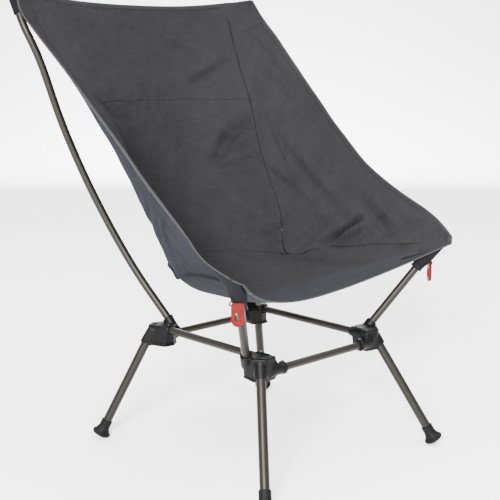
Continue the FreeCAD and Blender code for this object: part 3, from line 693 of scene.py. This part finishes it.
def panel(name, stations, spans, seams_along, seams_across, laps=(), painted_light_front=False):
    """One cut of cloth.

    seams_along are the s values and seams_across the v values of its sewn borders. laps names the borders
    that run on behind a neighbour, and the last flag adds a lighter band of painted light along the front.
    """
    v, s = np.meshgrid(stations, spans, indexing="ij")
    points = sling(v, s)
    normals = outward(v, s)
    distance = np.full(v.shape, 1.0)
    along = np.zeros(v.shape)
    push = np.zeros(v.shape)
    run_v, run_s = lengths(points, 0), lengths(points, 1)
    for border in seams_along:
        column = int(np.argmin(np.abs(spans - border)))
        gap = np.abs(run_s - run_s[:, column, None])
        along = np.where(gap < distance, run_v, along)
        distance = np.minimum(distance, gap)
        tuck, gather = (LOW_TUCK, 1) if border > 0 else (0, RIGHT_GATHER)
        deep = SIDE_GROOVE * (1 + tuck * np.exp(-(((v - LOW_TUCK_STATION) / LOW_TUCK_SPAN) ** 2)))
        groove = deep * np.exp(-((gap / (1.8 * GROOVE_WIDTH)) ** 1.4))
        push += gather * gathers(bare(v, border), gap) + groove
    for border in seams_across:
        row = int(np.argmin(np.abs(stations - border)))
        gap = np.abs(run_v - run_v[None, row, :])
        along = np.where(gap < distance, run_s, along)
        distance = np.minimum(distance, gap + CROSS_FOLD)
        groove = CROSS_GROOVE * np.exp(-((gap / GROOVE_WIDTH) ** 2))
        push += CROSS_GATHER * gathers(bare(border, s), gap) + groove
    points = points + normals * push[..., None]
    # Painted light: the band along the seat's front, narrowing toward the long seams.
    painted_light_band = np.clip((PAINTED_LIGHT_HEIGHT * (1 - np.abs(s) ** 3) - v) / PAINTED_LIGHT_FADE, 0, 1) if painted_light_front else np.zeros(v.shape)
    for lap in laps:
        if lap in ("first row", "last row"):
            first = lap == "first row"
            points = lapped(points, normals, first)
            normals, distance, along, painted_light_band = (
                np.concatenate([x[:1], x] if first else [x, x[-1:]]) for x in (normals, distance, along, painted_light_band)
            )
        else:
            first = lap == "first column"
            points = lapped(points.swapaxes(0, 1), normals.swapaxes(0, 1), first).swapaxes(0, 1)
            normals, distance, along, painted_light_band = (
                np.concatenate([x[:, :1], x] if first else [x, x[:, -1:]], axis=1)
                for x in (normals, distance, along, painted_light_band)
            )
    return mesh_object(
        name,
        points.reshape(-1, 3),
        grid_faces(*distance.shape),
        MATERIALS["sling_cloth"],
        grid_uvs(points),
        {"seam": distance, "along": along, "painted_light_band": painted_light_band},
    )


PER_STATION = 12
# Rough sizes in metres that one unit of s or one station covers.
HALF_WIDTH = 0.16
WING_WIDTH = 0.1
STATION_HEIGHT = 0.056
across_middle = clustered(-1, 1, 97, 1 / HALF_WIDTH, 1 / HALF_WIDTH)
across_wing = clustered(1, 2, 41, 1 / WING_WIDTH, None)


def stations(low, high, seam_low, seam_high):
    """Rows of a cut from station low to station high."""
    near = 1 / STATION_HEIGHT
    count = round((high - low) * PER_STATION) + 1
    return clustered(low, high, count, near if seam_low else None, near if seam_high else None)


rows = stations(0, SEAT_END, False, True)
seat = panel("seat_cloth", rows, across_middle, (-1, 1), (SEAT_END,), ("last row",), True)
rows = stations(SEAT_END, BACK_SEAM, True, True)
back_lower = panel("back_lower_cloth", rows, across_middle, (-1, 1), (SEAT_END, BACK_SEAM))
rows = stations(BACK_SEAM, TOP, True, False)
back_upper = panel("back_upper_cloth", rows, across_middle, (-1, 1), (BACK_SEAM,), ("first row",))
ride(seat, ["seat_panel"])
ride(back_lower, ["back_lower_panel"])
ride(back_upper, ["back_upper_panel"])
wings = {}
for side, sign in SIDES:
    spans = np.sort(across_wing * sign)
    lap = "first column" if sign > 0 else "last column"
    wing = panel(f"wing_{side}_cloth", stations(0, TOP, False, False), spans, (sign,), (), (lap,))
    wings[side] = ride(wing, [f"wing_{side}"])


# ---------------------------------------------------------------- bindings and hems
TAPE_WIDTH = 8 * MM
TAPE_THICK = 2.6 * MM
TAPE_LIP = 0.35 * MM
TAPE_SETBACK = 0.5 * MM
TAPE_WOBBLE = 0.25 * MM


def oval(width, thick, count=20):
    """Section of a tape folded over a cloth edge: x runs inward from the fold, y through the cloth."""
    half = thick / 2
    angles = np.linspace(-np.pi / 2, np.pi / 2, count // 2)
    fold = np.stack([-np.cos(angles) * half * 1.1, np.sin(angles) * half], axis=1)
    flat = np.linspace(0, 1, count // 2)[1:]
    upper = np.stack([flat * width, half - flat**4 * (half - TAPE_LIP)], axis=1)
    lower = upper[::-1] * (1, -1)
    return np.concatenate([fold, upper, lower])


def tape(name, path_v, path_s, inward, node):
    """Folded tape along a border of the sling; inward is a step in (station, s) that leads into the cloth."""
    v, s = np.asarray(path_v, float), np.asarray(path_s, float)
    line = sling(v, s)
    inside = sling(v + inward[0], s + inward[1] * np.where(s == 0, 1, np.sign(s)) if inward[1] else s)
    tangent = unit(np.gradient(line, axis=0))
    into = inside - line
    into = unit(into - np.sum(into * tangent, axis=1, keepdims=True) * tangent)
    through = np.cross(tangent, into)
    section = oval(TAPE_WIDTH, TAPE_THICK)
    wobble = np.array([noise.noise(Vector(p) * 60) for p in line])[:, None, None] * TAPE_WOBBLE
    points = (
        line[:, None]
        + into[:, None] * (section[None, :, :1] - TAPE_SETBACK + wobble)
        + through[:, None] * section[None, :, 1:]
    )
    along = np.concatenate([[0], np.cumsum(np.linalg.norm(np.diff(line, axis=0), axis=1))])
    # The sign picks the tape's face toward the sitter, which gets the painted shade.
    turned = np.sign(np.sum(through * outward(v, s), axis=1))[:, None] * section[None, :, 1]
    across = np.where(turned < 0, -section[None, :, 0], section[None, :, 0])
    uvs = np.stack(np.broadcast_arrays(across, along[:, None]), axis=-1).reshape(-1, 2)
    count = len(section)
    faces = grid_faces(len(line), count, around=True)
    faces.append(tuple(range(count)))
    faces.append(tuple(reversed(range((len(line) - 1) * count, len(line) * count))))
    obj = mesh_object(name, points.reshape(-1, 3), faces, MATERIALS["edge_binding"], uvs)
    return ride(obj, [node])


for side, sign in SIDES:
    v = np.linspace(0, TOP, 240)
    edge = np.full(v.shape, 2.0 * sign)
    tape(f"side_tape_{side}", v, edge, (0, -0.05), f"side_binding_{side}")
span = np.linspace(-1.96, 1.96, 260)
hem_front = tape("front_tape", np.zeros(span.shape), span, (0.1, 0), "hem_front")
hem_top = tape("top_tape", np.full(span.shape, float(TOP)), span, (-0.1, 0), "hem_top")


# ---------------------------------------------------------------- pole pockets
SEAT_POLE_UP = unit(np.array((0.471, -0.402, 0.786)))
SEAT_POLE_END = np.array((144.0, -182.6, 197.0)) * MM + SEAT_POLE_UP * 170 * MM
BACK_POLE_UP = unit(np.array((8.5, 22.0, 56.0)))
BACK_POLE_END = np.array((281.5, 270.5, 798.0)) * MM
FRONT_DEPTH = 22 * MM
BACK_DEPTH = 42 * MM
FLIP = np.array((-1, 1, 1))
# Painted shade for the dark opening beside the front sleeve: its stations, its s, its lift and its
# half-width.
OPENING_STATIONS = (0.5, 1.35)
OPENING_REACH = 1.87
OPENING_LIFT = 2.5 * MM
OPENING_HALF = 2.6 * MM
# Border of the front sleeve on the corner, an oval in (station, s): middle and half-sizes.
SLEEVE_MIDDLE = (0.62, 1.33)
SLEEVE_HALF = (0.54, 0.60)
SLEEVE_LIFT = 2.2 * MM
# The sleeve wall's curve: (radius, height) in mm, two above the mouth and the third above the pole's end.
SLEEVE_CURVE = ((10.0, 5.2), (12.0, 18), (14.0, 12))
SLEEVE_RIPPLES = 5
RIPPLE_DEPTH = 0.9 * MM
# Rolled hem at a pocket's mouth: (radius, height above the mouth) in mm.
MOUTH_HEM = ((8.4, 1.4), (8.3, 0.0), (9.0, -0.7), (10.0, -0.4), (10.5, 1.2), (10.6, 3.6), (10.2, 4.6))


def perpendicular(axis):
    first = unit(np.cross(axis, (0, 0, 1.0)))
    return first, np.cross(axis, first)


def front_pocket(sign):
    """Sleeve that swallows the front pole's tip and widens onto the underside of the corner.

    Its wall runs from the rolled mouth to the border along one cubic curve for each spoke.
    """
    count, rows = 64, 30
    first, second = perpendicular(SEAT_POLE_UP)
    turn = np.linspace(0, 2 * np.pi, 400, endpoint=False)
    loop_v = SLEEVE_MIDDLE[0] + SLEEVE_HALF[0] * np.cos(turn)
    loop_s = SLEEVE_MIDDLE[1] + SLEEVE_HALF[1] * np.sin(turn)
    loop = bare(loop_v, loop_s) + outward(loop_v, loop_s) * SLEEVE_LIFT
    reach = loop - SEAT_POLE_END
    bearing = np.unwrap(np.arctan2(reach @ second, reach @ first))
    if bearing[-1] < bearing[0]:
        bearing, loop = bearing[::-1], loop[::-1]
    angles = bearing[0] + np.linspace(0, 2 * np.pi, count, endpoint=False)
    target = np.stack([np.interp(angles, bearing, loop[:, k], period=2 * np.pi) for k in range(3)], axis=1)
    spoke = np.cos(angles)[:, None] * first + np.sin(angles)[:, None] * second
    mouth = SEAT_POLE_END - SEAT_POLE_UP * FRONT_DEPTH
    grid = [mouth + spoke * r * MM + SEAT_POLE_UP * h * MM for r, h in MOUTH_HEM]
    start, second_hold, third_hold = (
        origin + spoke * r * MM + SEAT_POLE_UP * h * MM
        for origin, (r, h) in zip((mouth, mouth, SEAT_POLE_END), SLEEVE_CURVE)
    )
    for t in np.linspace(0, 1, rows):
        u = 1 - t
        line = u**3 * start + 3 * u * u * t * second_hold + 3 * u * t * t * third_hold + t**3 * target
        ripple = np.sin(angles * SLEEVE_RIPPLES + 1.3) * np.sin(np.pi * t) ** 2 * RIPPLE_DEPTH
        grid.append(line + spoke * ripple[:, None])
    return np.array(grid) * (FLIP if sign < 0 else 1)


# The part of a wing that the back pocket may land on, and how far off the cloth it lands.
LANDING_STATIONS = (11.8, 13.96)
LANDING_REACH = (1.02, 1.95)
LANDING_LIFT = 2.0 * MM


def nearest_on_wing(points):
    """Nearest points of the left wing's outer face by its top corner."""
    v, s = np.meshgrid(np.linspace(*LANDING_STATIONS, 110), np.linspace(*LANDING_REACH, 60), indexing="ij")
    surface = (bare(v, s) + outward(v, s) * LANDING_LIFT).reshape(-1, 3)
    flat = points.reshape(-1, 3)
    index = [int(np.argmin(np.sum((surface - p) ** 2, axis=1))) for p in flat]
    return surface[index].reshape(points.shape)


# Section of the back pocket around the pole: radius and half-angle, then the sewn foot as (toward the wing,
# sideways), all in mm.
SHELL_RADIUS = 9.0
SHELL_ANGLE = math.radians(115)
FOOT = np.array((13.0, 19.0))
MIRRORED = np.array((1, -1))
SHELL_TOP = 11 * MM
CLOSE_FROM = 1 * MM
CLOSE_OVER = 10 * MM
# How far the section's outermost rows are pulled down onto the wing.
SEWN_SHARES = (1, 0.55, 0.2)


def back_pocket(sign):
    """Patch sewn to the outer face of a top corner that holds the back pole's tip."""
    rows, count = 34, 33
    inward = nearest_on_wing(BACK_POLE_END[None])[0] - BACK_POLE_END
    inward = unit(inward - inward.dot(BACK_POLE_UP) * BACK_POLE_UP)
    beside = np.cross(BACK_POLE_UP, inward)
    angles = np.linspace(-SHELL_ANGLE, SHELL_ANGLE, count - 8)
    around = np.stack([-SHELL_RADIUS * np.cos(angles), SHELL_RADIUS * np.sin(angles)], axis=1)
    slope = np.linspace(0, 1, 5)[:-1, None]
    left = FOOT * MIRRORED * (1 - slope) + around[0] * slope
    right = FOOT * (1 - slope[::-1]) + around[-1] * slope[::-1]
    section = np.concatenate([left, around, right])
    level = np.linspace(-BACK_DEPTH, SHELL_TOP, rows)
    centre = BACK_POLE_END + BACK_POLE_UP * level[:, None]
    grid = centre[:, None] + (section[:, :1] * inward + section[:, 1:] * beside) * MM
    landed = nearest_on_wing(grid)
    close = np.clip((level - CLOSE_FROM) / CLOSE_OVER, 0, 1)
    close = close * close * (3 - 2 * close)
    border = np.zeros(len(section))
    for row, pulled in enumerate(SEWN_SHARES):
        border[[row, -1 - row]] = pulled
    share = np.maximum(close[:, None], border[None, :])[..., None]
    return (grid * (1 - share) + landed * share) * (FLIP if sign < 0 else 1)


COLUMN_WIDTH = 1.2 * MM


def sheet_from_grid(name, grid, slot, replaced=(), around=False, flip=False, attributes=None):
    """Small cut of cloth from a grid of points, smoothed once."""
    points = grid[:, ::-1] if flip else grid
    across = np.repeat(np.arange(points.shape[1])[None] * COLUMN_WIDTH, points.shape[0], axis=0)
    uvs = np.stack([across, lengths(points, 0)], axis=-1).reshape(-1, 2)
    rows, count = points.shape[:2]
    faces = grid_faces(rows, count, around)
    obj = mesh_object(name, points.reshape(-1, 3), faces, MATERIALS[slot], uvs, attributes)
    subdivision = obj.modifiers.new("smooth", "SUBSURF")
    subdivision.levels = subdivision.render_levels = 1
    return ride(obj, replaced)


def mouth_shade(points, sign):
    """Painted shade: 1 on the dark opening that the front sleeve leaves under the edge tape, falling to 0
    around it.
    """
    v = np.linspace(*OPENING_STATIONS, 30)
    line = bare(v, OPENING_REACH * sign) + outward(v, OPENING_REACH * sign) * OPENING_LIFT
    gap = np.linalg.norm(points[..., None, :] - line, axis=-1).min(axis=-1)
    return np.exp(-((gap / OPENING_HALF) ** 4))


def far_from_seams(grid):
    """Attributes of a cut with no stitching on it."""
    return {"seam": np.full(grid.shape[:2], 1.0), "along": np.zeros(grid.shape[:2])}


for side, sign in SIDES:
    grid = front_pocket(sign)
    # Painted shade darkens the sleeve by its opening under the tape.
    shades = {**far_from_seams(grid), "dark": mouth_shade(grid, sign)}
    sheet_from_grid(
        f"front_sleeve_{side}", grid, "sleeve_cloth", [f"seat_pole_pocket_{side}"], True, sign > 0, shades
    )
    grid = back_pocket(sign)
    shades = far_from_seams(grid)
    sheet_from_grid(
        f"back_sleeve_{side}", grid, "sleeve_cloth", [f"back_pole_pocket_{side}"], False, sign > 0, shades
    )


# ---------------------------------------------------------------- pull tabs
TAB_TOP = np.array((233.0, -258.0, 325.0)) * MM
TAB_EYE_DROP = 4.4 * MM
TAB_OUT = unit(np.array((0.727, -0.686, 0)))
TAB_ALONG = unit(np.array((0.686, 0.727, 0)))
TAB_UP = np.array((0, 0, 1.0))
# One arm of the cord loop, from the sleeve to the eye: (along the tab, outward, up the sleeve) in mm.
LOOP_ARM = ((6, -12, 17), (9, -5, 10), (12.2, 0, 4), (12.2, 0, 0))
CORD_RADIUS = 1.1 * MM
# The finger hole's bead: drop below the eye, half-sizes of its oval, bead half-width and half-height.
HOLE_DROP = 16.6 * MM
HOLE_HALF = (5.8 * MM, 8.3 * MM)
BEAD_HALF = (1.7 * MM, 3.6 * MM)


def rounded_path(corners, passes=4):
    """Corner-cutting of an open path, which rounds its bends and keeps its ends."""
    path = np.array(corners)
    for _ in range(passes):
        near, far = path[:-1] * 0.75 + path[1:] * 0.25, path[:-1] * 0.25 + path[1:] * 0.75
        path = np.concatenate([path[:1], np.stack([near, far], axis=1).reshape(-1, 3), path[-1:]])
    return path


def tab_web(side, sign):
    """Cord loop through the tab's eye; its arms close in on the sleeve, where they are sewn."""
    eye = TAB_TOP - TAB_UP * TAB_EYE_DROP
    corners = []
    for arm in (1, -1):
        ends = [
            eye + (TAB_ALONG * arm * beside + TAB_OUT * proud + SEAT_POLE_UP * high) * MM
            for beside, proud, high in LOOP_ARM
        ]
        corners += ends if arm > 0 else ends[::-1]
    path = rounded_path(corners)
    tangent = unit(np.gradient(path, axis=0))
    first = unit(np.cross(tangent, TAB_OUT))
    second = np.cross(tangent, first)
    turn = np.linspace(0, 2 * np.pi, 14, endpoint=False)
    ring = np.cos(turn)[None, :, None] * first[:, None] + np.sin(turn)[None, :, None] * second[:, None]
    points = (path[:, None] + ring * CORD_RADIUS) * (FLIP if sign < 0 else 1)
    faces = grid_faces(len(path), len(turn), around=True)
    faces.append(tuple(range(len(turn))))
    faces.append(tuple(reversed(range((len(path) - 1) * len(turn), len(path) * len(turn)))))
    obj = mesh_object(f"tab_web_{side}", points.reshape(-1, 3), faces, MATERIALS["shock_cord"])
    return ride(obj, [f"tab_loop_{side}"])


def tab_rim(side, sign):
    """Bead around the finger hole, proud of both faces of the tab."""
    centre = TAB_TOP - TAB_UP * (TAB_EYE_DROP + HOLE_DROP)
    turn = np.linspace(0, 2 * np.pi, 72, endpoint=False)
    section = np.linspace(0, 2 * np.pi, 14, endpoint=False)
    radial = np.cos(turn)[:, None] * TAB_ALONG * HOLE_HALF[0] + np.sin(turn)[:, None] * TAB_UP * HOLE_HALF[1]
    points = (
        centre
        + radial[:, None]
        + unit(radial)[:, None] * (np.cos(section) * BEAD_HALF[0])[None, :, None]
        + TAB_OUT * (np.sin(section) * BEAD_HALF[1])[None, :, None]
    ) * (FLIP if sign < 0 else 1)
    wrap = len(turn) * len(section)
    faces = [tuple(k % wrap for k in face) for face in grid_faces(len(turn) + 1, len(section), around=True)]
    obj = mesh_object(f"tab_rim_{side}", points.reshape(-1, 3), faces, MATERIALS["tab_rim"])
    return ride(obj, (), f"pull_tab_{side}_swing")


for side, sign in SIDES:
    tab_rim(side, sign)
    tab_web(side, sign)


# ---------------------------------------------------------------- corner patches
# Border of a patch on the sitter's face of each corner, (station, s), from the side edge to the hem.
FRONT_PATCH = (
    (1.75, 1.97), (1.6, 1.72), (1.42, 1.45), (1.3, 1.2), (1.2, 1.0), (0.95, 0.93), (0.5, 0.9), (0.05, 0.885)
)
TOP_PATCH = ((12.9, 1.97), (12.98, 1.7), (13.15, 1.4), (13.38, 1.15), (13.6, 1.0), (13.8, 0.93), (13.96, 0.9))
# The corner, as (station, s), that a patch spreads from.
FRONT_CORNER = (0.03, 1.93)
TOP_CORNER = (13.97, 1.95)
PATCH_THICK = 0.9 * MM
PATCH_HEM = 0.8 * MM


def corner_patch(name, border, corner, sign):
    """Second layer of cloth sewn into a corner with a curved border."""
    knots = np.array(border)
    at = np.linspace(0, len(knots) - 1, 60)
    line = np.stack([np.interp(at, np.arange(len(knots)), knots[:, k]) for k in (0, 1)], axis=1)
    for _ in range(6):
        line[1:-1] = (line[:-2] + 2 * line[1:-1] + line[2:]) / 4
    reach = np.linspace(0.02, 1, 26)[:, None, None]
    pairs = np.array(corner) * (1 - reach) + line[None] * reach
    v, s = pairs[..., 0], pairs[..., 1] * sign
    points = sling(v, s, CLOTH_LIFT - PATCH_THICK)
    gap = np.linalg.norm(points - points[-1:], axis=-1)
    gap[-1] = 0
    sink = np.exp(-((gap / PATCH_HEM) ** 2)) * PATCH_THICK
    points = points + outward(v, s) * sink[..., None]
    along = np.repeat(lengths(points, 1)[-1:], points.shape[0], axis=0)
    flip = sign * (1 if corner[0] < 1 else -1) > 0
    # Painted shade darkens the front patch by the sleeve's opening.
    shades = {"seam": gap + PATCH_HEM, "along": along, "dark": mouth_shade(points, sign)}
    return sheet_from_grid(name, points, "sling_cloth", (), False, flip, shades)


for side, sign in SIDES:
    corner_patch(f"front_patch_{side}", FRONT_PATCH, FRONT_CORNER, sign)
    corner_patch(f"top_patch_{side}", TOP_PATCH, TOP_CORNER, sign)


# ---------------------------------------------------------------- stage and light
FLOOR_NEAR = -9.0
FLOOR_END = 4.0
BEND_RADIUS = 7.0
WALL_TOP = 12.0
HALF_FLOOR = 14
FLOOR_GAP = 0.4 * MM
WALL_SIDE = unit(np.array([0.686, 0.727, 0]))
ALONG_WALL = np.array([0.727, -0.686, 0])
WORLD_STRENGTH = 0.9


def backdrop():
    """Floor that bends up into a wall far behind."""
    angles = np.linspace(0, math.pi / 2, 60)[1:]
    bend = [(FLOOR_END + BEND_RADIUS * math.sin(a), BEND_RADIUS * (1 - math.cos(a))) for a in angles]
    profile = [(FLOOR_NEAR, 0.0), (FLOOR_END, 0.0)] + bend + [(FLOOR_END + BEND_RADIUS, WALL_TOP)]
    points = [
        WALL_SIDE * d + ALONG_WALL * w + np.array([0, 0, z - FLOOR_GAP])
        for w in (-HALF_FLOOR, HALF_FLOOR)
        for d, z in profile
    ]
    return mesh_object("floor", points, [f[::-1] for f in grid_faces(2, len(profile))], floor_material())


def floor_material():
    graph = Graph("floor")
    cloud = graph.noise(object_coords(graph), 3.0, 4.0)
    tone = graph.spread(cloud, 0.3, 0.7, 0.985, 1.0)
    return graph.finish(Base_Color=graph.shade(rgb(0.93, 0.93, 0.935), tone), Roughness=0.6)


backdrop()


def area_light(name, location, target, size, power):
    """Soft rectangular light that faces target; size in metres, power in watts."""
    data = bpy.data.lights.new(name, "AREA")
    data.shape = "RECTANGLE"
    data.size, data.size_y = size
    data.energy = power
    obj = bpy.data.objects.new(name, data)
    obj.location = location
    obj.rotation_euler = (Vector(target) - Vector(location)).to_track_quat("-Z", "Y").to_euler()
    bpy.context.scene.collection.objects.link(obj)


area_light("top_light", (0.3, 0.2, 4.5), (0.3, 0.2, 0), (9, 9), 1350)
area_light("key_light", (-3.0, -2.3, 1.9), (0, 0, 0.5), (1.1, 1.1), 860)
area_light("backdrop_light", (2.6, 2.8, 2.4), (6.8, 7.2, 2.0), (4.0, 3.0), 1100)

world = bpy.data.worlds.new("world")
world.use_nodes = True
world.node_tree.nodes["Background"].inputs[0].default_value = (1.0, 1.0, 1.0, 1.0)
world.node_tree.nodes["Background"].inputs[1].default_value = WORLD_STRENGTH
bpy.context.scene.world = world


for side, _ in SIDES:
    wing, pole = wings[side].name, f"back_pole_upper_{side}"
